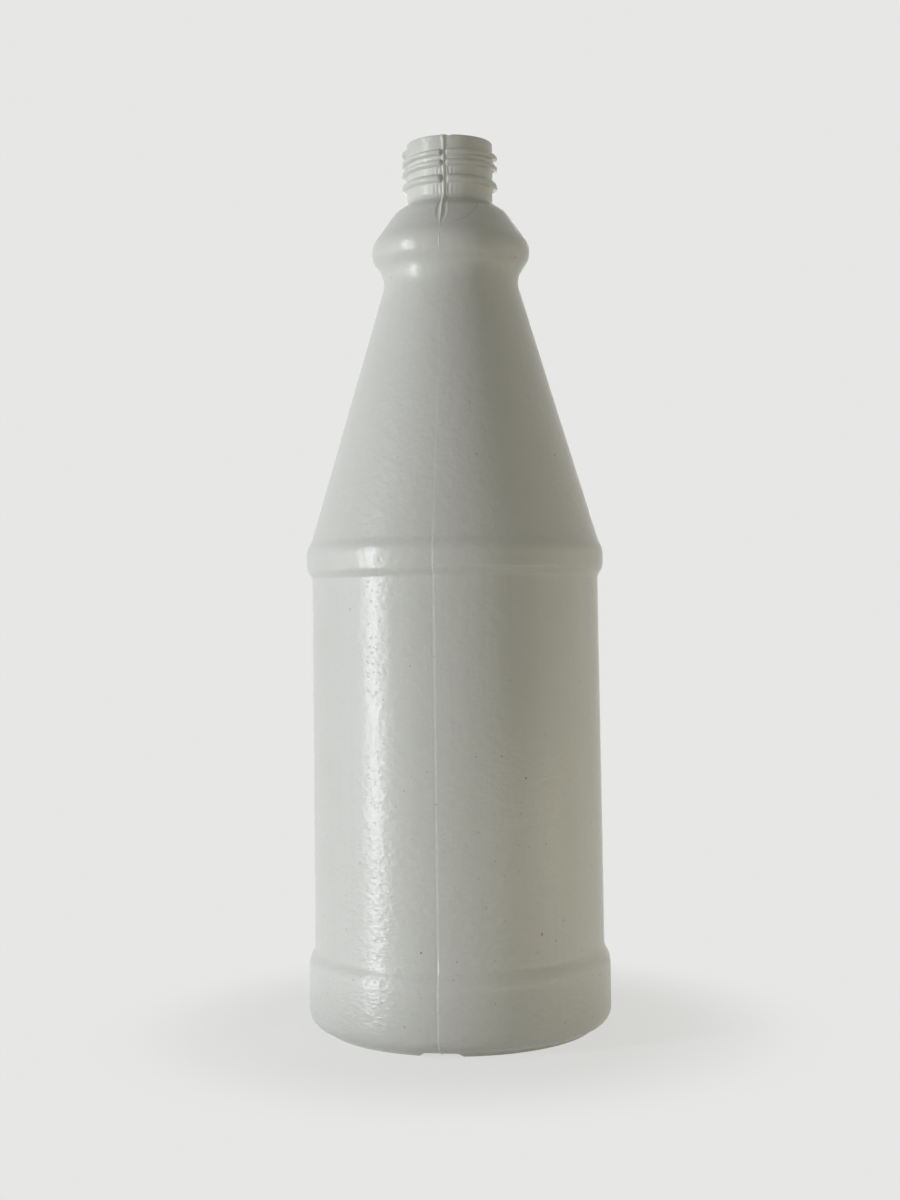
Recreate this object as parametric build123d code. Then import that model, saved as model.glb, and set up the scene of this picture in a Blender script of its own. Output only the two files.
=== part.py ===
from build123d import *

import os
from collections import namedtuple
from math import degrees, radians, tan

# A conical bottle, blown as one hollow piece, with a bulb below its threaded neck.
# Millimetres. +Z runs up the bottle's axis and the bottle stands on Z = 0.
# The two halves of the mould meet on the plane X = 0.

# Wall
wall = 0.95
overrun = 2.0

# Foot and base
foot_inset = 4.9
foot_height = 1.15
foot_round = 0.45
stand_width = 2.6
stand_round = 0.8
push_up_run = 5.0
push_up_height = 4.5
push_up_round = 3.0
notch_width = 9.6
notch_flare = 1.2
notch_height = 0.9
weld_width = 1.0
weld_height = 0.55

# Base band and label panel
band_diameter = 88.0
band_height = 19.9
band_step_rise = 3.6
band_round = 7.0
heel_round = 4.8
label_recess = 1.7
panel_height = 107.0
panel_foot_round = 3.5
panel_top_round = 1.5

# Ring between the panel and the cone
ring_diameter = 86.9
ring_step_rise = 2.1
ring_height = 5.6
ring_draft = 0.25
ring_low_round = 2.5
ring_crown_rise = 2.9
ring_crown_round = 5.5
cone_inset = 1.45
cone_foot_round = 6.0

# Cone, bulb and shoulder, each diameter taken before its corner is rounded
cone_height = 77.1
waist_diameter = 38.0
waist_round = 7.5
bulb_rise = 7.2
bulb_diameter = 49.5
bulb_round = 6.2
shoulder_rise = 11.7
shoulder_diameter = 32.9
shoulder_round = 6.3
neck_root_rise = 2.55
neck_root_round = 2.4

# Neck, with a bead and a thread of half-oval section, and the flash that the mould left up its front and back
neck_diameter = 25.2
neck_height = 17.95
bore_diameter = 21.8
lip_round = 0.35
lip_bevel = 0.35
ridge_sink = 0.1
bead_diameter = 28.1
bead_drop = 12.9
bead_width = 2.0
bead_gap = 0.9
thread_diameter = 28.0
thread_pitch = 3.0
thread_drop = 2.75
thread_width = 1.85
thread_gap = 0.7
thread_half_turns = 5
thread_lead_in_angle = 60.0
flash_width = 0.6
flash_height = 0.4

# Shares of a run that the rounding at one of its ends may take
beside_round_share = 0.49
beside_sharp_share = 0.99

# Places worked out from the sizes
band_radius = band_diameter / 2
foot_radius = band_radius - foot_inset
stand_inner_radius = foot_radius - stand_width
push_up_radius = stand_inner_radius - push_up_run
base_wall = foot_height + wall
ring_radius = ring_diameter / 2
neck_radius = neck_diameter / 2
bore_radius = bore_diameter / 2
neck_wall = neck_radius - bore_radius
panel_foot_level = band_height + band_step_rise
panel_top_level = panel_foot_level + panel_height
ring_low_level = panel_top_level + ring_step_rise
ring_high_level = ring_low_level + ring_height
cone_foot_level = ring_high_level + ring_crown_rise
waist_level = cone_foot_level + cone_height
bulb_level = waist_level + bulb_rise
shoulder_level = bulb_level + shoulder_rise
neck_root_level = shoulder_level + neck_root_rise
lip_level = neck_root_level + neck_height
ridge_path_radius = neck_radius - ridge_sink
bead_reach = bead_diameter / 2 - ridge_path_radius
thread_reach = thread_diameter / 2 - ridge_path_radius
half_turn = 180.0
full_turn = 360.0
back_angle = 90.0

Corner = namedtuple("Corner", "radius level rounding")


def place(corner):
    return Vector(corner.radius, 0, corner.level)


def room(corner, neighbour):
    """Length of the run from a corner to its neighbour that the corner's rounding may use."""
    share = beside_round_share if neighbour.rounding else beside_sharp_share
    return share * (place(neighbour) - place(corner)).length


def fitted_round(before, corner, after):
    """A corner's rounding, limited by the two runs that meet there."""
    if not corner.rounding:
        return 0
    turn = (place(corner) - place(before)).get_angle(place(after) - place(corner))
    return min(corner.rounding, min(room(corner, before), room(corner, after)) / tan(radians(turn) / 2))


def turned(corners):
    """Solid turned about the axis from corners that start and end on it."""
    before = corners[-1:] + corners[:-1]
    after = corners[1:] + corners[:1]
    rounds = [fitted_round(*three) for three in zip(before, corners, after)]
    places = [place(corner) for corner in corners]
    outline = FilletPolyline(*places, radius=rounds, close=True)
    return revolve(make_face(outline), axis=Axis.Z)


def crossing(run, other):
    """Where two runs meet, each given by a point and a direction in the plane of the outline."""
    start, along = run
    other_start, other_along = other
    gap = other_start - start
    reach = gap.cross(other_along).Y / along.cross(other_along).Y
    return start + along * reach


def inset(corners, walls):
    """Corners of the surface that lies inside the given one, by one wall for each run."""
    runs = []
    for first, second, thickness in zip(corners, corners[1:], walls):
        along = (place(second) - place(first)).normalized()
        inward = Vector(-along.Z, 0, along.X)
        runs.append((place(first) + inward * thickness, along))
    inner = []
    for corner, run, following, thickness in zip(corners[1:], runs, runs[1:], walls):
        meeting = crossing(run, following)
        bulges = run[1].cross(following[1]).Y < 0
        rounding = corner.rounding - thickness if bulges else corner.rounding + thickness
        inner.append(Corner(meeting.X, meeting.Z, max(rounding, 0) if corner.rounding else 0))
    return inner


def base_corners():
    """Underside, from the pushed-up middle out to the face that the bottle stands on."""
    return [
        Corner(0, push_up_height, 0),
        Corner(push_up_radius, push_up_height, push_up_round),
        Corner(stand_inner_radius, 0, stand_round),
    ]


def foot_corners():
    """The low foot ring and the rounded heel above it."""
    return [
        Corner(foot_radius, 0, foot_round),
        Corner(foot_radius, foot_height, 0),
        Corner(band_radius, foot_height, heel_round),
    ]


def side_corners():
    """Side of the bottle, from the top of the base band to the root of the neck."""
    return [
        Corner(band_radius, band_height, band_round),
        Corner(band_radius - label_recess, panel_foot_level, panel_foot_round),
        Corner(ring_radius - label_recess, panel_top_level, panel_top_round),
        Corner(ring_radius - ring_draft, ring_low_level, ring_low_round),
        Corner(ring_radius, ring_high_level, ring_crown_round),
        Corner(ring_radius - cone_inset, cone_foot_level, cone_foot_round),
        Corner(waist_diameter / 2, waist_level, waist_round),
        Corner(bulb_diameter / 2, bulb_level, bulb_round),
        Corner(shoulder_diameter / 2, shoulder_level, shoulder_round),
        Corner(neck_radius, neck_root_level, neck_root_round),
    ]


def outside():
    """The bottle as a solid, without its bead, thread and hollow."""
    lip = [Corner(neck_radius, lip_level, lip_round), Corner(0, lip_level, 0)]
    return turned(base_corners() + foot_corners() + side_corners() + lip)


def hollow():
    """The space inside, which runs out past the lip."""
    side = side_corners()
    heel = Corner(band_radius, 0, heel_round + foot_height)
    skin = base_corners() + [heel] + side + [Corner(neck_radius, lip_level, 0)]
    walls = [base_wall] * len(base_corners()) + [wall] * len(side) + [neck_wall]
    floor = Corner(0, push_up_height + base_wall, 0)
    mouth = [
        Corner(bore_radius, lip_level - lip_bevel, 0),
        Corner(bore_radius + lip_bevel, lip_level, 0),
        Corner(bore_radius + lip_bevel, lip_level + overrun, 0),
        Corner(0, lip_level + overrun, 0),
    ]
    return turned([floor] + inset(skin, walls) + mouth)


def ridge(path, reach, width):
    """Ridge of oval section along a path round the neck, with a rounded end on each side."""
    section = Ellipse(reach, width / 2)
    upper_half = section & Pos(0, width) * Rectangle(2 * reach, 2 * width)
    end = revolve(upper_half, axis=Axis.X, revolution_arc=half_turn)
    first, last = path @ 0, path @ 1
    first_plane = Plane(first, x_dir=(first.X, first.Y, 0), z_dir=-(path % 0))
    last_plane = Plane(last, x_dir=(last.X, last.Y, 0), z_dir=path % 1)
    return sweep(first_plane * section, path=path, is_frenet=True) + first_plane * end + last_plane * end


def relief_angle(gap, width):
    """Angle from the parting plane to the place where a ridge starts to round off."""
    return degrees((gap + width / 2) / ridge_path_radius)


def bead():
    """Bead round the neck below the thread, in two halves that stop short of the parting plane."""
    relief = relief_angle(bead_gap, bead_width)
    halves = []
    for parting_angle in (back_angle, back_angle + half_turn):
        path = CenterArc((0, 0), ridge_path_radius, parting_angle + relief, half_turn - 2 * relief)
        halves.append(Pos(0, 0, lip_level - bead_drop) * ridge(path, bead_reach, bead_width))
    return halves


def thread():
    """Right-hand thread that stops short of the parting plane at each half turn."""
    relief = relief_angle(thread_gap, thread_width)
    top_angle = back_angle + thread_half_turns * half_turn - thread_lead_in_angle
    lengths = []
    for index in range(thread_half_turns):
        parting_angle = back_angle + index * half_turn
        start_angle = parting_angle + relief
        end_angle = min(parting_angle + half_turn - relief, top_angle)
        path = Helix(thread_pitch, thread_pitch * (end_angle - start_angle) / full_turn, ridge_path_radius)
        start_level = lip_level - thread_drop - thread_pitch * (top_angle - start_angle) / full_turn
        length = ridge(path, thread_reach, thread_width)
        lengths.append(Pos(0, 0, start_level) * Rot(0, 0, start_angle) * length)
    return lengths


def neck_flash():
    """Thin ribs up the neck on the parting plane, which run out on the shoulder."""
    rib_radius = neck_radius + flash_height
    half = [
        (shoulder_diameter / 2, shoulder_level),
        (rib_radius, neck_root_level),
        (rib_radius, lip_level - lip_round),
        (ridge_path_radius, lip_level - lip_round),
        (ridge_path_radius, neck_root_level - flash_height),
    ]
    section = Plane.YZ * make_face(Polyline(*half, close=True))
    rib = extrude(section, amount=flash_width / 2, both=True)
    return [rib, Rot(0, 0, half_turn) * rib]


def foot_notches():
    """Channel along the parting plane that breaks the foot ring at the front and the back."""
    across = [
        (-notch_width / 2 - notch_flare, 0),
        (-notch_width / 2, notch_height),
        (notch_width / 2, notch_height),
        (notch_width / 2 + notch_flare, 0),
    ]
    below = [(notch_width / 2 + notch_flare, -overrun), (-notch_width / 2 - notch_flare, -overrun)]
    section = Plane.XZ * make_face(Polyline(*across, *below, close=True))
    return extrude(section, amount=band_radius, both=True)


def base_weld():
    """Ridge across the underside where the mould pinched the hot tube shut."""
    ridge_level = push_up_height - weld_height
    notch_level = notch_height - weld_height
    slope_run = push_up_run * (1 - notch_height / push_up_height)
    half = [
        (push_up_radius, ridge_level),
        (push_up_radius + slope_run, notch_level),
        (foot_radius, notch_level),
        (foot_radius, foot_height),
        (push_up_radius + slope_run, foot_height + weld_height),
        (push_up_radius, push_up_height + weld_height),
    ]
    mirrored = [(-radius, level) for radius, level in reversed(half)]
    section = Plane.YZ * make_face(Polyline(*half, *mirrored, close=True))
    return extrude(section, amount=weld_width / 2, both=True)


def bottle():
    shell = outside() - foot_notches() + base_weld()
    for raised in bead() + thread() + neck_flash():
        shell += raised
    return shell - hollow()


os.makedirs("parts", exist_ok=True)
export_step(bottle(), "parts/bottle.step")
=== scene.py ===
from collections import namedtuple
from math import ceil, cos, degrees, pi, radians, sin

import bpy
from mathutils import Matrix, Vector


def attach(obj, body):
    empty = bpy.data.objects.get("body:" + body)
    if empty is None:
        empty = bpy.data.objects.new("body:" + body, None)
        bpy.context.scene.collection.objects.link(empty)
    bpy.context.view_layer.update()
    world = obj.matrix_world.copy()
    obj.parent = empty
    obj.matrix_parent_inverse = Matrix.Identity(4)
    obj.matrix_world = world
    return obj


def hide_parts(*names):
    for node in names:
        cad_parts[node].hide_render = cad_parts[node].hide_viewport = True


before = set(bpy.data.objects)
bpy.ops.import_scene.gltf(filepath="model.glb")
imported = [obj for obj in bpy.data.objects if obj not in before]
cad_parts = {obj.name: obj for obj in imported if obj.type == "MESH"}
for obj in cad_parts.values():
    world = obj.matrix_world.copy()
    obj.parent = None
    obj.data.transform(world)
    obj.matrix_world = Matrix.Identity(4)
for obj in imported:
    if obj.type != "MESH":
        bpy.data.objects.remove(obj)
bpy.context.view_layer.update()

# A white blown bottle, turned from its outline in Geometry Nodes and dressed as moulded plastic.
# Sizes are millimetres, as in the frame's own drawing, and become metres where a mesh or a tree takes them.
# The mould's two halves meet on the plane X = 0, so the parting line runs up the front and the back.

MM = 0.001

# Foot and base
foot_inset = 4.9
foot_height = 1.15
foot_round = 0.45
stand_width = 2.6
stand_round = 0.8
push_up_run = 5.0
push_up_height = 4.5
push_up_round = 3.0
notch_width = 9.6
notch_flare = 1.2
notch_height = 0.9
weld_width = 1.0
weld_height = 0.55

# Base band and label panel
wall = 0.95
band_diameter = 88.0
band_height = 19.9
band_step_rise = 3.6
band_round = 7.0
heel_round = 4.8
label_recess = 1.7
panel_height = 107.0
panel_foot_round = 3.5
panel_top_round = 1.5

# Ring between the panel and the cone
ring_diameter = 86.9
ring_step_rise = 2.1
ring_height = 5.6
ring_draft = 0.25
ring_low_round = 2.5
ring_crown_rise = 2.9
ring_crown_round = 5.5
cone_inset = 1.45
cone_foot_round = 6.0

# Cone, bulb and shoulder, each diameter taken before its corner is rounded
cone_height = 77.1
waist_diameter = 38.0
waist_round = 7.5
bulb_rise = 7.2
bulb_diameter = 49.5
bulb_round = 6.2
shoulder_rise = 11.7
shoulder_diameter = 32.9
shoulder_round = 6.3
neck_root_rise = 2.55
neck_root_round = 2.4

# Neck, with a bead and a thread of half-oval section
neck_diameter = 25.2
neck_height = 17.95
bore_diameter = 21.8
lip_round = 0.35
lip_bevel = 0.35
ridge_sink = 0.1
ridge_fillet = 0.25
ridge_end = 0.45
thread_power = 3.0
bead_power = 2.0
bead_diameter = 28.1
bead_drop = 12.9
bead_width = 2.0
bead_upper_width = 2.8
bead_gap = 0.8
thread_diameter = 28.0
thread_pitch = 3.0
thread_drop = 2.75
thread_width = 1.85
thread_gap = 0.65
thread_half_turns = 5
thread_lead_in_angle = 60.0
thread_run_out_angle = 28.0
thread_run_out_share = 0.7

# Marks of the mould: the parting line, the pinch beside it and the slight unevenness of a blown wall
parting_crowding = 0.9
step_reach = 6.0
step_width = 0.42
step_groove_offset = 0.5
step_groove_width = 0.35
step_groove_share = 0.3
pinch_rise = 9.2
pinch_reach = 4.2
pinch_end_spread = 0.55
pinch_depth = 0.2
pinch_offset = 1.05
pinch_width = 0.6
pinch_lip_offset = 1.9
pinch_lip_width = 0.45
pinch_lip_height = 0.07
ripple_spacing = 1.15
ripple_height = 0.12
ripple_start = 0.8
ripple_reach = 5.5
bare_low_rise = 2.2
bare_low_reach = 2.4
bare_high_rise = 2.3
bare_high_reach = 1.7
wander = 0.16
unevenness = 0.06
nick_offset = 1.5
nick_half_width = 0.9
nick_depth = 0.25
rim_drop = 0.1
rim_crest_share = 0.9
rim_blend_low = 0.8
rim_blend_high = 0.2

# How close together the marks' random changes lie, in features to a metre
wander_frequency = 420.0
lump_frequency = 700.0
ripple_frequency = 900.0
sway_frequency = 38.0

# Fineness of the mesh
around_count = 190
arc_step_angle = 9.0
merge_distance = 0.001

# Places worked out from the sizes
band_radius = band_diameter / 2
foot_radius = band_radius - foot_inset
stand_inner_radius = foot_radius - stand_width
push_up_radius = stand_inner_radius - push_up_run
base_wall = foot_height + wall
ring_radius = ring_diameter / 2
neck_radius = neck_diameter / 2
bore_radius = bore_diameter / 2
neck_wall = neck_radius - bore_radius
panel_foot_level = band_height + band_step_rise
panel_top_level = panel_foot_level + panel_height
ring_low_level = panel_top_level + ring_step_rise
ring_high_level = ring_low_level + ring_height
cone_foot_level = ring_high_level + ring_crown_rise
waist_level = cone_foot_level + cone_height
bulb_level = waist_level + bulb_rise
shoulder_level = bulb_level + shoulder_rise
neck_root_level = shoulder_level + neck_root_rise
lip_level = neck_root_level + neck_height
pinch_level = bulb_level + pinch_rise
bead_level = lip_level - bead_drop
ridge_path_radius = neck_radius - ridge_sink
bead_reach = bead_diameter / 2 - ridge_path_radius
thread_reach = thread_diameter / 2 - ridge_path_radius
thread_top_level = lip_level - thread_drop
thread_top_angle = radians(90.0 + thread_half_turns * 180.0 - thread_lead_in_angle)
thread_whole_turns = thread_half_turns // 2

# How far the flash stands out, level by level along the parting line
FLASH_HEIGHT = [
    (0.0, 0.0),
    (bulb_level - 2.5, 0.0),
    (bulb_level - 1.2, 0.11),
    (bulb_level + 0.8, 0.11),
    (bulb_level + 2.0, 0.01),
    (pinch_level - pinch_reach, 0.03),
    (pinch_level - pinch_reach * 0.6, 0.22),
    (neck_root_level, 0.40),
    (lip_level - 0.8, 0.48),
    (lip_level, 0.0),
]
# Half the width of the flash
FLASH_HALF_WIDTH = [
    (0.0, 0.20),
    (bulb_level, 0.22),
    (pinch_level, 0.45),
    (neck_root_level, 0.60),
    (lip_level - 3.0, 0.66),
    (lip_level, 0.95),
]
# How far the mould's two halves are out of step
PARTING_STEP = [
    (0.0, 0.0),
    (foot_height, 0.07),
    (heel_round, 0.11),
    (band_height, 0.115),
    (panel_foot_level - 1.0, 0.10),
    (panel_foot_level, 0.18),
    (panel_foot_level + 3.0, 0.15),
    (panel_foot_level + 6.0, 0.09),
    (panel_foot_level + 30.0, 0.075),
    (panel_top_level - 3.0, 0.07),
    (panel_top_level + 1.0, 0.10),
    (ring_high_level, 0.08),
    (cone_foot_level + 6.0, 0.03),
    (waist_level, 0.01),
    (lip_level, 0.0),
]

Corner = namedtuple("Corner", "radius level rounding spacing")


# Outline of the bottle, as corners with a rounding and the spacing of the points on the run above


def base_corners():
    """Underside, from the pushed-up middle out to the face that the bottle stands on."""
    return [
        Corner(0, push_up_height, 0, 4.0),
        Corner(push_up_radius, push_up_height, push_up_round, 1.0),
        Corner(stand_inner_radius, 0, stand_round, 0.8),
    ]


def foot_corners():
    """The low foot ring and the rounded heel above it."""
    return [
        Corner(foot_radius, 0, foot_round, 0.14),
        Corner(foot_radius, foot_height, 0, 0.5),
        Corner(band_radius, foot_height, heel_round, 1.0),
    ]


def side_corners():
    """Side of the bottle, from the top of the base band to the root of the neck."""
    return [
        Corner(band_radius, band_height, band_round, 0.4),
        Corner(band_radius - label_recess, panel_foot_level, panel_foot_round, 3.2),
        Corner(ring_radius - label_recess, panel_top_level, panel_top_round, 0.3),
        Corner(ring_radius - ring_draft, ring_low_level, ring_low_round, 0.6),
        Corner(ring_radius, ring_high_level, ring_crown_round, 0.5),
        Corner(ring_radius - cone_inset, cone_foot_level, cone_foot_round, 3.0),
        Corner(waist_diameter / 2, waist_level, waist_round, 0.6),
        Corner(bulb_diameter / 2, bulb_level, bulb_round, 0.4),
        Corner(shoulder_diameter / 2, shoulder_level, shoulder_round, 0.3),
        Corner(neck_radius, neck_root_level, neck_root_round, 0.2),
    ]


def inset(corners, walls):
    """Corners of the surface that lies inside the given one, by one wall for each run."""
    runs = []
    for first, second, thickness in zip(corners, corners[1:], walls):
        start = Vector((first.radius, first.level))
        along = (Vector((second.radius, second.level)) - start).normalized()
        runs.append((start + thickness * along.orthogonal(), along))
    inner = []
    for corner, run, following, thickness in zip(corners[1:], runs, runs[1:], walls):
        (start, along), (next_start, next_along) = run, following
        meeting = start + along * ((next_start - start).cross(next_along) / along.cross(next_along))
        bulges = along.cross(next_along) > 0
        rounding = corner.rounding - thickness if bulges else corner.rounding + thickness
        inner.append(Corner(*meeting, max(rounding, 0) if corner.rounding else 0, corner.spacing * 3))
    return inner


def outside_corners():
    """Skin of the bottle, from the middle of its underside up to the edge of its lip."""
    lip = [Corner(neck_radius, lip_level, lip_round, 0.3)]
    return base_corners() + foot_corners() + side_corners() + lip


def inside_corners():
    """Inner face, from the bevel of the lip down to the middle of the floor."""
    side = side_corners()
    heel = Corner(band_radius, 0, heel_round + foot_height, 1.0)
    skin = base_corners() + [heel] + side + [Corner(neck_radius, lip_level, 0, 1.0)]
    walls = [base_wall] * len(base_corners()) + [wall] * len(side) + [neck_wall]
    mouth = [
        Corner(bore_radius, lip_level - lip_bevel, 0, 0.3),
        Corner(bore_radius + lip_bevel, lip_level, 0, 0.3),
    ]
    upwards = [Corner(0, push_up_height + base_wall, 0, 6.0)] + inset(skin, walls) + mouth
    spacings = [corner.spacing for corner in upwards[:-1]]
    turned_over = zip(upwards[:0:-1], reversed(spacings))
    downwards = [corner._replace(spacing=spacing) for corner, spacing in turned_over]
    return downwards + upwards[:1]


def arc_steps(before, corner, after):
    """Number of straight steps in a corner's rounding."""
    into = Vector((corner.radius - before.radius, corner.level - before.level))
    out = Vector((after.radius - corner.radius, after.level - corner.level))
    return max(3, ceil(degrees(into.angle(out)) / arc_step_angle))


def outline_mesh():
    """The corners as one line of edges, with the values that the tree reads at each of them."""
    outside, inside = outside_corners(), inside_corners()
    corners = outside + inside
    mesh = bpy.data.meshes.new("bottle_outline")
    places = [(corner.radius * MM, 0, corner.level * MM) for corner in corners]
    mesh.from_pydata(places, [(index, index + 1) for index in range(len(corners) - 1)], [])
    steps = [arc_steps(*three) for three in zip(corners, corners[1:], corners[2:])]
    values = {
        "rounding": [corner.rounding * MM for corner in corners],
        "spacing": [corner.spacing * MM for corner in corners],
        "arc_steps": [1.0] + [float(count) for count in steps] + [1.0],
        "outer": [1.0] * len(outside) + [0.0] * len(inside),
    }
    for name, numbers in values.items():
        mesh.attributes.new(name, "FLOAT", "POINT").data.foreach_set("value", numbers)
    return mesh


# Node trees, written as expressions


def open_socket(sockets, key):
    """A socket in use, by its name or by its place among those in use."""
    in_use = [socket for socket in sockets if socket.enabled]
    if isinstance(key, int):
        return in_use[key]
    return next(socket for socket in in_use if socket.name == key)


class Wire:
    """One output of a node. Arithmetic on wires adds the Math nodes that work it out."""

    def __init__(self, bench, socket):
        self.bench = bench
        self.socket = socket

    def port(self, name):
        """Another output of the same node."""
        return Wire(self.bench, open_socket(self.socket.node.outputs, name))

    def math(self, operation, *others):
        return self.bench.node("ShaderNodeMath", {"operation": operation}, dict(enumerate((self, *others))))

    def __add__(self, other):
        return self.math("ADD", other)

    __radd__ = __add__

    def __mul__(self, other):
        return self.math("MULTIPLY", other)

    __rmul__ = __mul__

    def __sub__(self, other):
        return self.math("SUBTRACT", other)

    def __rsub__(self, other):
        return self.bench.node("ShaderNodeMath", {"operation": "SUBTRACT"}, {0: other, 1: self})

    def __truediv__(self, other):
        return self.math("DIVIDE", other)

    def __pow__(self, power):
        return self.math("POWER", power)

    def __neg__(self):
        return self * -1.0

    def __abs__(self):
        return self.math("ABSOLUTE")

    def __gt__(self, other):
        return self.math("GREATER_THAN", other)

    def __lt__(self, other):
        return self.math("LESS_THAN", other)

    def at_least(self, other):
        return self.math("MAXIMUM", other)

    def at_most(self, other):
        return self.math("MINIMUM", other)

    def ramp(self, start, end):
        """Rises smoothly from 0 where the wire is at start to 1 where it is at end."""
        ends = {"Value": self, "From Min": start, "From Max": end}
        return self.bench.node("ShaderNodeMapRange", {"interpolation_type": "SMOOTHSTEP"}, ends)

    def hump(self, half_width):
        """1 where the wire is 0, falling smoothly to 0 at half_width on both sides."""
        share = self / half_width
        return (1.0 - share * share).at_least(0.0) ** 2.0


class Bench:
    """A node tree, with the one method that adds its nodes."""

    def __init__(self, tree):
        self.tree = tree

    def node(self, kind, settings=None, sockets=None, out=0):
        made = self.tree.nodes.new(kind)
        for name, value in (settings or {}).items():
            if name == "points":
                self.bend(made.mapping, value)
            else:
                setattr(made, name, value)
        for key, value in (sockets or {}).items():
            socket = open_socket(made.inputs, key)
            if isinstance(value, Wire):
                self.tree.links.new(value.socket, socket)
            else:
                socket.default_value = value
        return Wire(self, open_socket(made.outputs, out)) if made.outputs else None

    def bend(self, mapping, points):
        """Lays a Float Curve through the points, with straight runs between them."""
        curve = mapping.curves[0]
        while len(curve.points) < len(points):
            curve.points.new(0.5, 0.5)
        for point, place in zip(curve.points, points):
            point.location = place
            point.handle_type = "VECTOR"
        mapping.update()

    def vector(self, operation, *sockets, **named):
        values = {**dict(enumerate(sockets)), **named}
        return self.node("ShaderNodeVectorMath", {"operation": operation}, values)

    def noise(self, place, scale, detail=2.0, roughness=0.5):
        """Noise from 0 to 1 at a place."""
        values = {"Vector": place, "Scale": scale, "Detail": detail, "Roughness": roughness}
        return self.node("ShaderNodeTexNoise", {"noise_dimensions": "3D"}, values)

    def parts(self, vector):
        """The three numbers of a vector."""
        first = self.node("ShaderNodeSeparateXYZ", None, {"Vector": vector})
        return first, first.port("Y"), first.port("Z")

    def joined(self, x, y, z):
        return self.node("ShaderNodeCombineXYZ", None, {"X": x, "Y": y, "Z": z})

    def along_levels(self, level, table):
        """The value that a table gives at each level."""
        points = [(height / lip_level, value) for height, value in table]
        return self.node("ShaderNodeFloatCurve", {"points": points}, {"Value": level / (lip_level * MM)})


# The bottle's own tree


BOTTLE_INPUTS = {
    "Around": around_count,
    "Parting Crowding": parting_crowding,
    "Neck Root Level": neck_root_level * MM,
    "Lip Level": lip_level * MM,
    "Ridge Path Radius": ridge_path_radius * MM,
    "Ridge Fillet": ridge_fillet * MM,
    "Ridge End": ridge_end * MM,
    "Thread Reach": thread_reach * MM,
    "Thread Half Width": thread_width / 2 * MM,
    "Thread Gap": thread_gap * MM,
    "Thread Pitch": thread_pitch * MM,
    "Thread Top Level": thread_top_level * MM,
    "Thread Top Angle": thread_top_angle,
    "Thread Whole Turns": float(thread_whole_turns),
    "Bead Reach": bead_reach * MM,
    "Bead Lower Half Width": bead_width / 2 * MM,
    "Bead Upper Half Width": bead_upper_width / 2 * MM,
    "Bead Gap": bead_gap * MM,
    "Bead Level": bead_level * MM,
    "Notch Half Width": notch_width / 2 * MM,
    "Notch Flare": notch_flare * MM,
    "Notch Height": notch_height * MM,
    "Weld Half Width": weld_width / 2 * MM,
    "Weld Height": weld_height * MM,
    "Weld Reach": foot_radius * MM,
    "Nick Offset": nick_offset * MM,
    "Nick Half Width": nick_half_width * MM,
    "Nick Depth": nick_depth * MM,
    "Rim Drop": rim_drop * MM,
    "Pinch Level": pinch_level * MM,
    "Pinch Reach": pinch_reach * MM,
    "Pinch Depth": pinch_depth * MM,
    "Ripple Spacing": ripple_spacing * MM,
    "Ripple Height": ripple_height * MM,
    "Wander": wander * MM,
    "Unevenness": unevenness * MM,
    "Seed": 4.0,
}


def add_inputs(tree, plastic):
    """Gives the tree its named inputs. Returns the value for each, by the socket's identifier."""
    tree.interface.new_socket("Outline", in_out="INPUT", socket_type="NodeSocketGeometry")
    values = {}
    for name, value in BOTTLE_INPUTS.items():
        kind = "NodeSocketInt" if isinstance(value, int) else "NodeSocketFloat"
        socket = tree.interface.new_socket(name, in_out="INPUT", socket_type=kind)
        values[socket.identifier] = value
    socket = tree.interface.new_socket("Plastic", in_out="INPUT", socket_type="NodeSocketMaterial")
    values[socket.identifier] = plastic
    tree.interface.new_socket("Bottle", in_out="OUTPUT", socket_type="NodeSocketGeometry")
    return values


def attribute(bench, name):
    return bench.node("GeometryNodeInputNamedAttribute", {"data_type": "FLOAT"}, {"Name": name})


def rounded_outline(bench, outline):
    """The outline with its corners rounded and its runs divided."""
    line = bench.node("GeometryNodeMeshToCurve", None, {"Mesh": outline})
    rounds = {
        "Curve": line,
        "Count": attribute(bench, "arc_steps"),
        "Radius": attribute(bench, "rounding"),
        "Limit Radius": True,
    }
    rounded = bench.node("GeometryNodeFilletCurve", {"mode": "POLY"}, rounds)
    place = bench.node("GeometryNodeInputPosition")
    following = bench.node("GeometryNodeInputIndex") + 1.0
    next_place = bench.node(
        "GeometryNodeFieldAtIndex",
        {"data_type": "FLOAT_VECTOR", "domain": "POINT"},
        {"Value": place, "Index": following},
    )
    length = bench.vector("DISTANCE", place, next_place)
    cuts = (length / attribute(bench, "spacing")).math("CEIL") - 1.0
    return bench.node("GeometryNodeSubdivideCurve", None, {"Curve": rounded, "Cuts": cuts.at_least(0.0)})


def half_oval(power, *shares):
    """Height of a half-oval ridge, from shares of its half axes. It turns negative outside the oval."""
    inside = 1.0
    for share in shares:
        inside = inside - abs(share) ** power
    return inside.at_least(0.0) ** 0.5 - (-inside).at_least(0.0) ** 0.5


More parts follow.
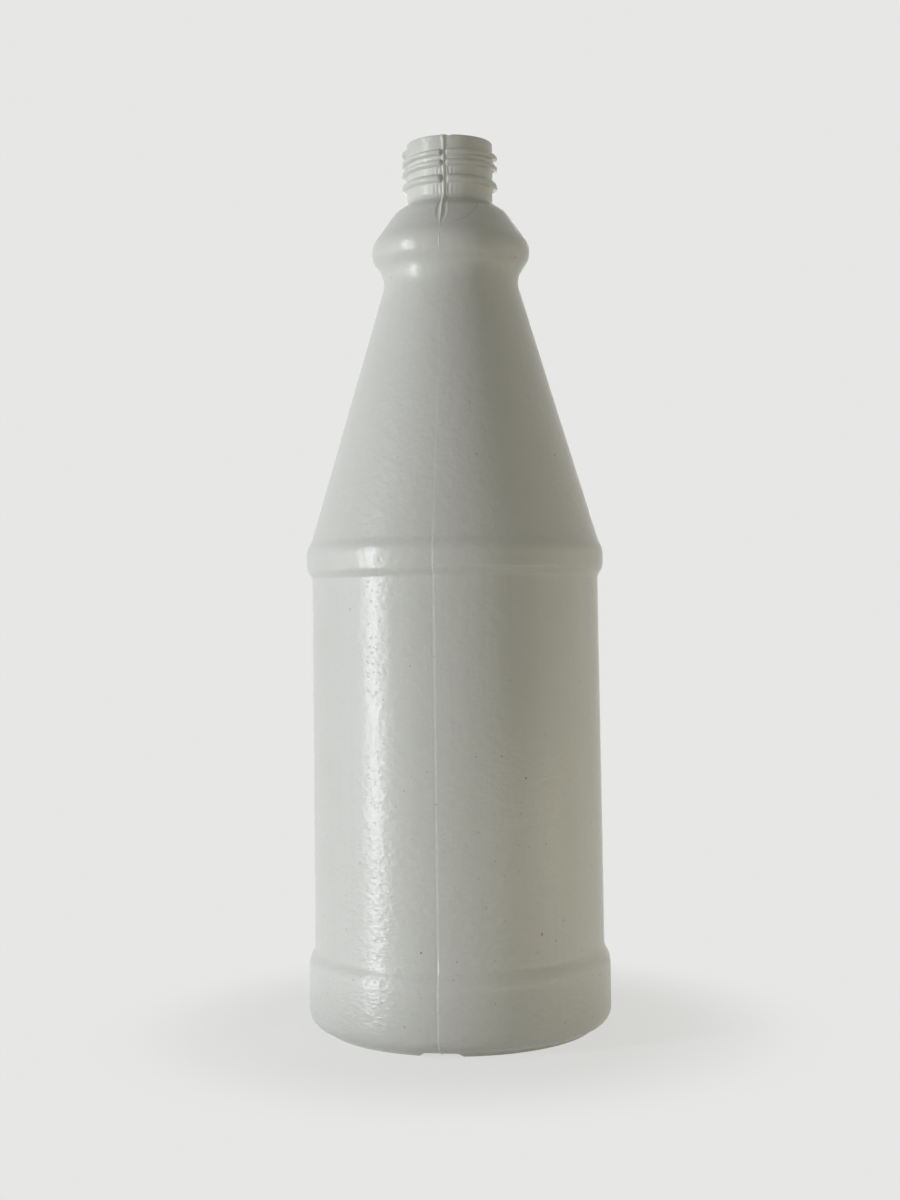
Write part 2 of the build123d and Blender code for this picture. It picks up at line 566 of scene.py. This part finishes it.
def threaded(size, radius, level, angle):
    """Radius of the neck with its thread and bead, which both stop short of the parting plane."""
    path_radius = size("Ridge Path Radius")
    from_parting = abs(angle.math("COSINE")) * path_radius
    pitch = size("Thread Pitch")
    half_width = size("Thread Half Width")
    climb = size("Thread Top Level") + (angle - size("Thread Top Angle")) * pitch / (2.0 * pi)
    turn = ((level - climb) / pitch).math("ROUND").at_least(0.0).at_most(size("Thread Whole Turns"))
    off_thread = (level - climb - turn * pitch) / half_width
    past_end = ((size("Thread Gap") + size("Ridge End") - from_parting) / size("Ridge End")).at_least(0.0)
    past_top = angle + turn * (2.0 * pi) - size("Thread Top Angle")
    run_out_start = radians(-thread_run_out_share * thread_run_out_angle)
    run_out = past_top.ramp(run_out_start, run_out_start + radians(thread_run_out_angle))
    thread = path_radius + size("Thread Reach") * (half_oval(thread_power, off_thread, past_end) - run_out)
    off_bead = level - size("Bead Level")
    above_bead = off_bead / size("Bead Upper Half Width")
    below_bead = -off_bead / size("Bead Lower Half Width")
    past_bead = ((size("Bead Gap") + size("Ridge End") - from_parting) / size("Ridge End")).at_least(0.0)
    off_bead_share = above_bead.at_least(below_bead)
    bead = path_radius + size("Bead Reach") * half_oval(bead_power, off_bead_share, past_bead)
    return radius.math("SMOOTH_MAX", thread.at_least(bead), size("Ridge Fillet"))


def underside_level(size, level, radius, across):
    """Level of the base with the notch through its foot ring and the weld along the parting plane."""
    notch_side = (size("Notch Half Width") + size("Notch Flare") - across) / size("Notch Flare")
    notched = level.at_least(size("Notch Height") * notch_side.at_least(0.0).at_most(1.0))
    under = (radius < size("Weld Reach") - foot_round * MM) * (level < (push_up_height + wall) * MM)
    return notched - under * size("Weld Height") * across.hump(size("Weld Half Width"))


def turned_skin(bench, size, outline):
    """The outline turned about the axis, with the thread, the bead, the notch, the weld and the nick."""
    count = bench.node("GeometryNodeAttributeDomainSize", {"component": "CURVE"}, {"Geometry": outline})
    grid_sizes = {"Size X": 1.0, "Size Y": 1.0, "Vertices X": size("Around") + 1.0, "Vertices Y": count}
    grid = bench.node("GeometryNodeMeshGrid", None, grid_sizes)
    share, height_share, unused = bench.parts(grid.port("UV Map"))
    step = (height_share * (count - 1.0)).math("ROUND")
    place = bench.node(
        "GeometryNodeSampleIndex",
        {"data_type": "FLOAT_VECTOR", "domain": "POINT"},
        {"Geometry": outline, "Value": bench.node("GeometryNodeInputPosition"), "Index": step},
    )
    outer = bench.node(
        "GeometryNodeSampleIndex",
        {"data_type": "FLOAT", "domain": "POINT"},
        {"Geometry": outline, "Value": attribute(bench, "outer"), "Index": step},
    )
    radius, unused, level = bench.parts(place)
    crowded = share - size("Parting Crowding") * (share * (4.0 * pi)).math("SINE") / (4.0 * pi)
    angle = crowded * (2.0 * pi) + pi / 2
    sideways = angle.math("COSINE")
    backwards = angle.math("SINE")
    on_neck = outer * (level > size("Neck Root Level"))
    neck = threaded(size, radius, level, angle)
    full_radius = radius + on_neck * (neck - radius)
    across = radius * sideways
    on_skin = underside_level(size, level, radius, abs(across))
    nicked = (across - size("Nick Offset")).hump(size("Nick Half Width")) * (backwards < 0.0)
    at_lip = level.ramp(size("Lip Level") - rim_blend_low * MM, size("Lip Level") - rim_blend_high * MM)
    crest = rim_crest_share * across.hump(nick_offset * MM)
    dropped = size("Nick Depth") * nicked + size("Rim Drop") * (1.0 - crest)
    full_level = level + outer * (on_skin - level) - dropped * at_lip
    spot = bench.joined(full_radius * sideways, full_radius * backwards, full_level)
    turned = bench.node("GeometryNodeSetPosition", None, {"Geometry": grid, "Position": spot})
    marked = bench.node(
        "GeometryNodeStoreNamedAttribute",
        {"data_type": "FLOAT", "domain": "POINT"},
        {"Geometry": turned, "Name": "outer", "Value": outer},
    )
    closing = {"Geometry": marked, "Distance": merge_distance * MM}
    return bench.node("GeometryNodeMergeByDistance", None, closing)


def mould_marks(bench, size):
    """Height of the parting line, the pinch, the ripples and the unevenness over the turned skin."""
    place = bench.node("GeometryNodeInputPosition")
    side, depth, level = bench.parts(place)
    seed = size("Seed")
    on_neck = level.ramp(pinch_level * MM, neck_root_level * MM)
    drift = bench.noise(bench.joined(seed, depth * 40.0, level), wander_frequency) - 0.5
    across = side + drift * size("Wander") * (0.25 + on_neck * 1.5)
    from_line = abs(across)
    half_width = bench.along_levels(level, FLASH_HALF_WIDTH) * MM
    lumps = 0.7 + 0.6 * bench.noise(bench.joined(seed, depth * 20.0, level), lump_frequency)
    flash = bench.along_levels(level, FLASH_HEIGHT) * MM * lumps * across.hump(half_width)
    fall = across.ramp(-step_reach * MM, -step_width * MM)
    rise = across.ramp(-0.4 * step_width * MM, 0.4 * step_width * MM)
    groove_share = step_groove_share * (across + step_groove_offset * MM).hump(step_groove_width * MM)
    line = flash - bench.along_levels(level, PARTING_STEP) * MM * (fall * (1.0 - rise) + groove_share)
    lens = (level - size("Pinch Level")).hump(size("Pinch Reach"))
    spread = pinch_end_spread + (1.0 - pinch_end_spread) * lens
    groove = (from_line - pinch_offset * MM * spread).hump(pinch_width * MM) * size("Pinch Depth")
    lip = (from_line - pinch_lip_offset * MM * spread).hump(pinch_lip_width * MM) * (pinch_lip_height * MM)
    pinch = lens * (lip - groove)
    bare_low = (level - (neck_root_level + bare_low_rise) * MM).hump(bare_low_reach * MM)
    bare_high = (level - (bead_level + bare_high_rise) * MM).hump(bare_high_reach * MM)
    uneven_ripple = bench.noise(bench.joined(side, depth, level * 0.3), ripple_frequency) * 5.0
    ripple_phase = from_line * (2.0 * pi) / size("Ripple Spacing") + uneven_ripple
    near_line = 1.0 - from_line.ramp(ripple_start * MM, ripple_reach * MM)
    ripple = ripple_phase.math("SINE") * size("Ripple Height") * near_line * (bare_low + bare_high)
    sway = bench.noise(bench.vector("ADD", place, bench.joined(seed, seed, seed)), sway_frequency, 1.0)
    above_foot = level.ramp(foot_height * MM, (foot_height + heel_round) * MM)
    below_lip = 1.0 - level.ramp(neck_root_level * MM, lip_level * MM)
    return line + pinch + ripple - sway * size("Unevenness") * above_foot * below_lip


def bottle_tree(plastic):
    """Tree that turns the outline into the whole bottle, and the values of its inputs."""
    tree = bpy.data.node_groups.new("turned_bottle", "GeometryNodeTree")
    values = add_inputs(tree, plastic)
    bench = Bench(tree)
    entry = bench.node("NodeGroupInput", None, None, "Outline")
    outline = rounded_outline(bench, entry)
    skin = turned_skin(bench, entry.port, outline)
    outward = bench.node("GeometryNodeInputNormal")
    height = mould_marks(bench, entry.port) * attribute(bench, "outer")
    offset = bench.vector("SCALE", outward, Scale=height)
    marked = bench.node("GeometryNodeSetPosition", None, {"Geometry": skin, "Offset": offset})
    smooth = bench.node("GeometryNodeSetShadeSmooth", None, {"Geometry": marked})
    whole = bench.node("GeometryNodeRealizeInstances", None, {"Geometry": smooth})
    finish = {"Geometry": whole, "Material": entry.port("Plastic")}
    dressed = bench.node("GeometryNodeSetMaterial", None, finish)
    bench.node("NodeGroupOutput", None, {"Bottle": dressed})
    return tree, values


def make_bottle(plastic):
    """The bottle as one plain mesh at the origin."""
    bottle = bpy.data.objects.new("blown_bottle", outline_mesh())
    bpy.context.scene.collection.objects.link(bottle)
    tree, values = bottle_tree(plastic)
    turning = bottle.modifiers.new("turning", "NODES")
    turning.node_group = tree
    for identifier, value in values.items():
        turning[identifier] = value
    evaluated = bottle.evaluated_get(bpy.context.evaluated_depsgraph_get())
    mesh = bpy.data.meshes.new_from_object(evaluated)
    bottle.modifiers.clear()
    bottle.data = mesh
    return bottle


# White moulded plastic

PLASTIC = (0.78, 0.78, 0.75, 1.0)
CLOUDED = (0.73, 0.735, 0.70, 1.0)
SPECK_GREY = (0.30, 0.30, 0.28, 1.0)

# Patterns, in features to a millimetre around and up
DRAW_LINES = (0.9, 0.012)
MOTTLE = (0.8, 1.1)
GRAIN = (0.45, 0.95)
PEEL = (0.36, 0.4)
STREAKS = (1.1, 0.03)
CLOUD_FREQUENCY = 0.05

# Levels between which the grain and the specks thin out
GRAIN_FADE = (25.0, 120.0)
SPECK_FADE = (20.0, 150.0)

ROUGHNESS = 0.24
RELIEF_HEIGHT = 0.05
LIGHT_DEPTH = 2.5
SCRATCH_SHARE = 0.26

Dots = namedtuple("Dots", "frequency radius spread core threshold")
SPECKS = Dots(0.45, 0.09, 0.15, 0.5, 0.72)
PITS = Dots(0.7, 0.25, 0.17, 0.4, 0.25)

Fleck = namedtuple("Fleck", "place radius colour")
FLECKS = [
    Fleck((23.6, -34.7, 75.1), 0.42, (0.25, 0.24, 0.20, 1.0)),
    Fleck((27.2, -32.3, 32.3), 0.50, (0.44, 0.30, 0.24, 1.0)),
    Fleck((-14.8, -39.2, 96.8), 0.30, (0.32, 0.32, 0.30, 1.0)),
    Fleck((-4.7, -42.0, 28.6), 0.40, (0.34, 0.33, 0.31, 1.0)),
    Fleck((5.0, -42.0, 26.3), 0.34, (0.46, 0.45, 0.42, 1.0)),
]
Scratch = namedtuple("Scratch", "side level radius half_width")
SHOULDER_SCRATCH = Scratch(2.5, 238.0, 7.3, 0.34)


def blend(bench, share, first, second):
    """One colour passing into another."""
    return bench.node("ShaderNodeMix", {"data_type": "RGBA"}, {"Factor": share, "A": first, "B": second})


def stretched(bench, place, around, up):
    """A place drawn out for a pattern, with so many features to a millimetre around and up."""
    return bench.vector("MULTIPLY", place, (around, around, up))


def scattered(bench, place, dots):
    """Round dots at random places, with a chance and a depth from 0 to 1 for each."""
    cells = bench.node("ShaderNodeTexVoronoi", {"feature": "F1"}, {"Vector": place, "Scale": dots.frequency})
    chance, size_chance, depth = bench.parts(cells.port("Color"))
    radius = dots.radius + dots.spread * size_chance
    return 1.0 - cells.ramp(radius * dots.core, radius), chance, depth


def scattered_specks(bench, place, level):
    """Dark specks of dirt under the skin, thicker towards the base."""
    dots, chance, depth = scattered(bench, place, SPECKS)
    wanted = chance > SPECKS.threshold + 0.25 * level.ramp(*SPECK_FADE)
    return dots * wanted * (0.18 + 0.34 * depth)


def pits(bench, place):
    """Small shallow pits, a few millimetres apart."""
    dots, chance, unused = scattered(bench, place, PITS)
    return dots * (chance > PITS.threshold)


def shoulder_scratch(bench, side, depth, level):
    """A faint bowed hairline beside the parting line on the front of the shoulder."""
    across = side - SHOULDER_SCRATCH.side
    down = SHOULDER_SCRATCH.level - level
    off_line = (across * across + down * down) ** 0.5 - SHOULDER_SCRATCH.radius
    inside = (across > 0.0) * (down > -0.8) * (depth < 0.0)
    return off_line.hump(SHOULDER_SCRATCH.half_width) * inside * across.ramp(0.0, 4.0)


def white_plastic():
    """Satin white polyethylene with a grained lower half, faint draw lines, specks and a hairline."""
    material = bpy.data.materials.new("white_blown_plastic")
    material.use_nodes = True
    material.node_tree.nodes.clear()
    bench = Bench(material.node_tree)
    metres = bench.node("ShaderNodeTexCoord", None, None, "Object")
    place = bench.vector("SCALE", metres, Scale=1.0 / MM)
    side, depth, level = bench.parts(place)
    grained = 1.0 - level.ramp(*GRAIN_FADE)
    cloud = bench.noise(place, CLOUD_FREQUENCY, 3.0)
    draw_lines = bench.noise(stretched(bench, place, *DRAW_LINES), 1.0, 3.0, 0.65)
    mottle = bench.noise(stretched(bench, place, *MOTTLE), 1.0, 2.0)
    shade = cloud.ramp(0.35, 0.75) * 0.35 + draw_lines.ramp(0.4, 0.75) * 0.3 + mottle.ramp(0.45, 0.8) * 0.25
    colour = blend(bench, shade, PLASTIC, CLOUDED)
    colour = blend(bench, scattered_specks(bench, place, level), colour, SPECK_GREY)
    scratched = shoulder_scratch(bench, side, depth, level) * SCRATCH_SHARE
    colour = blend(bench, scratched, colour, SPECK_GREY)
    for fleck in FLECKS:
        away = bench.vector("DISTANCE", place, fleck.place).port("Value")
        colour = blend(bench, 1.0 - away.ramp(fleck.radius * 0.4, fleck.radius), colour, fleck.colour)
    grain = bench.noise(stretched(bench, place, *GRAIN), 1.0, 1.0)
    peel = bench.noise(stretched(bench, place, *PEEL), 1.0, 1.0)
    streaks = bench.noise(stretched(bench, place, *STREAKS), 1.0, 1.0)
    pitted = pits(bench, place)
    roughness = ROUGHNESS + 0.08 * mottle + 0.04 * cloud + 0.3 * pitted
    relief = grain * (0.6 + 2.2 * grained) + 2.4 * peel + 0.3 * streaks - 0.35 * pitted
    raised = {"Strength": 1.0, "Distance": RELIEF_HEIGHT * MM, "Height": relief}
    bump = bench.node("ShaderNodeBump", None, raised)
    surface = {
        "Base Color": colour,
        "Roughness": roughness,
        "Normal": bump,
        "IOR": 1.5,
        "Specular IOR Level": 0.6,
        "Subsurface Weight": 0.25,
        "Subsurface Radius": (1.0, 0.95, 0.8),
        "Subsurface Scale": LIGHT_DEPTH * MM,
    }
    shader = bench.node("ShaderNodeBsdfPrincipled", None, surface)
    bench.node("ShaderNodeOutputMaterial", None, {"Surface": shader})
    return material


# Stage: a pale floor under a pale sky, with two soft lamps on the left,
# two weak warm ones on the right and one behind

FLOOR_COLOUR = (0.74, 0.74, 0.73, 1.0)
GROUND_COLOUR = (1.0, 1.0, 0.99, 1.0)
SKY_COLOUR = (0.80, 0.80, 0.79, 1.0)
ROOM_COLOUR = (1.0, 0.975, 0.80, 1.0)
GROUND_SHARE = 0.6
# Between the fade radius and the floor's edge the paint passes into the paler sky, which leaves a painted
# shade round the bottle's foot
FLOOR_RADIUS = 0.11
FADE_RADIUS = 0.05
FLOOR_SIDES = 96
HORIZON_LEVEL = 0.31
OVERHEAD_LEVEL = 0.07

Lamp = namedtuple("Lamp", "name azimuth distance level width height colour watts")
LAMPS = [
    Lamp("tall_strip_lamp", -58.0, 0.75, 0.15, 0.07, 0.62, (0.92, 0.955, 1.0, 1.0), 3.0),
    Lamp("broad_soft_lamp", -74.0, 1.2, 0.04, 1.0, 0.6, (0.92, 0.955, 1.0, 1.0), 1.8),
    Lamp("warm_fill_lamp", 102.0, 0.5, 0.04, 0.5, 0.35, (1.0, 0.93, 0.68, 1.0), 0.21),
    Lamp("low_front_lamp", 58.0, 0.24, 0.03, 0.3, 0.05, (1.0, 0.95, 0.74, 1.0), 0.05),
    Lamp("back_fill_lamp", 186.0, 1.5, 0.3, 0.8, 1.2, (1.0, 0.99, 0.95, 1.0), 4.2),
]

# Camera, as it stood for the photograph: pixels are of a frame 900 wide and 1200 high
FRAME_HEIGHT = 1200.0
FOCAL_PIXELS = 1750.0
SENSOR = 36.0
camera_distance = 513.5
camera_level = 120.5
camera_azimuth = 8.0
camera_yaw = 0.18
camera_pitch = 0.39
camera_roll = 0.76


def seen_directly(bench):
    """1 for what the camera sees, also through or by way of a shiny surface, and 0 for light on its way."""
    path = bench.node("ShaderNodeLightPath", None, None, "Is Camera Ray")
    return (path + path.port("Is Glossy Ray") + path.port("Is Transmission Ray")).at_most(1.0)


def pale_floor_paint():
    """Pale paint that takes the bottle's shadow and fades into the sky at the floor's edge; as the paint is
    darker than the sky, the fade also paints a soft shade round the bottle's foot.
    """
    material = bpy.data.materials.new("pale_floor_paint")
    material.use_nodes = True
    material.node_tree.nodes.clear()
    bench = Bench(material.node_tree)
    paint = bench.node("ShaderNodeBsdfDiffuse", None, {"Color": FLOOR_COLOUR})
    ground = bench.node("ShaderNodeEmission", None, {"Color": GROUND_COLOUR})
    sky = bench.node("ShaderNodeEmission", None, {"Color": SKY_COLOUR})
    direct = seen_directly(bench)
    from_middle = bench.vector("LENGTH", bench.node("ShaderNodeTexCoord", None, None, "Object"))
    # The floor's paint is darker than the sky, so this fade also paints a soft shade round the bottle's
    # foot, darkest next to it
    edge_fade_and_painted_shade = from_middle.ramp(FADE_RADIUS, FLOOR_RADIUS)
    floor = bench.node("ShaderNodeMixShader", None, {0: direct * GROUND_SHARE, 1: paint, 2: ground})
    floor_with_painted_shade = bench.node("ShaderNodeMixShader", None, {0: direct * edge_fade_and_painted_shade, 1: floor, 2: sky})
    bench.node("ShaderNodeOutputMaterial", None, {"Surface": floor_with_painted_shade})
    return material


def make_floor():
    """A small round floor, so that the lamps also reach the bottle from beside and below its edge."""
    turns = [2 * pi * index / FLOOR_SIDES for index in range(FLOOR_SIDES)]
    places = [(FLOOR_RADIUS * cos(turn), FLOOR_RADIUS * sin(turn), 0.0) for turn in turns]
    mesh = bpy.data.meshes.new("pale_floor")
    mesh.from_pydata(places, [], [tuple(range(FLOOR_SIDES))])
    mesh.materials.append(pale_floor_paint())
    floor = bpy.data.objects.new("pale_floor", mesh)
    bpy.context.scene.collection.objects.link(floor)


def aim(thing, place, target):
    """Puts a lamp at a place, facing a target."""
    thing.location = place
    thing.rotation_mode = "QUATERNION"
    thing.rotation_quaternion = (Vector(target) - Vector(place)).to_track_quat("-Z", "Y")


def make_lamps():
    for lamp in LAMPS:
        light = bpy.data.lights.new(lamp.name, "AREA")
        light.shape = "RECTANGLE"
        light.size, light.size_y = lamp.width, lamp.height
        light.color = lamp.colour[:3]
        light.energy = lamp.watts
        stand = bpy.data.objects.new(lamp.name, light)
        stand.visible_camera = False
        bpy.context.scene.collection.objects.link(stand)
        turn = radians(lamp.azimuth)
        place = (sin(turn) * lamp.distance, -cos(turn) * lamp.distance, lamp.level)
        aim(stand, place, (0.0, 0.0, lamp.level))


def make_world():
    """Even light from around, weaker from overhead and below, behind a pale sky."""
    world = bpy.data.worlds.new("soft_room_light")
    world.use_nodes = True
    world.node_tree.nodes.clear()
    bench = Bench(world.node_tree)
    unused, unused, height = bench.parts(bench.node("ShaderNodeTexCoord", None, None, "Generated"))
    level = HORIZON_LEVEL - (HORIZON_LEVEL - OVERHEAD_LEVEL) * abs(height).ramp(0.1, 0.75)
    room = bench.node("ShaderNodeBackground", None, {"Color": ROOM_COLOUR, "Strength": level})
    sky = bench.node("ShaderNodeBackground", None, {"Color": SKY_COLOUR})
    light = bench.node("ShaderNodeMixShader", None, {0: seen_directly(bench), 1: room, 2: sky})
    bench.node("ShaderNodeOutputWorld", None, {"Surface": light})
    bpy.context.scene.world = world


def make_camera():
    lens = bpy.data.cameras.new("camera")
    lens.sensor_width = SENSOR
    lens.lens = SENSOR * FOCAL_PIXELS / FRAME_HEIGHT
    lens.clip_start = 0.01
    camera = bpy.data.objects.new("camera", lens)
    bpy.context.scene.collection.objects.link(camera)
    turn = radians(camera_azimuth)
    reach = camera_distance * MM
    camera.location = (sin(turn) * reach, -cos(turn) * reach, camera_level * MM)
    camera.rotation_euler = (
        radians(90.0 + camera_pitch),
        radians(camera_roll),
        radians(camera_azimuth + camera_yaw),
    )
    bpy.context.scene.camera = camera


bottle = make_bottle(white_plastic())
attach(bottle, "root")
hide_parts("bottle")

make_floor()
make_lamps()
make_world()
make_camera()
bpy.context.scene.view_settings.view_transform = "Standard"
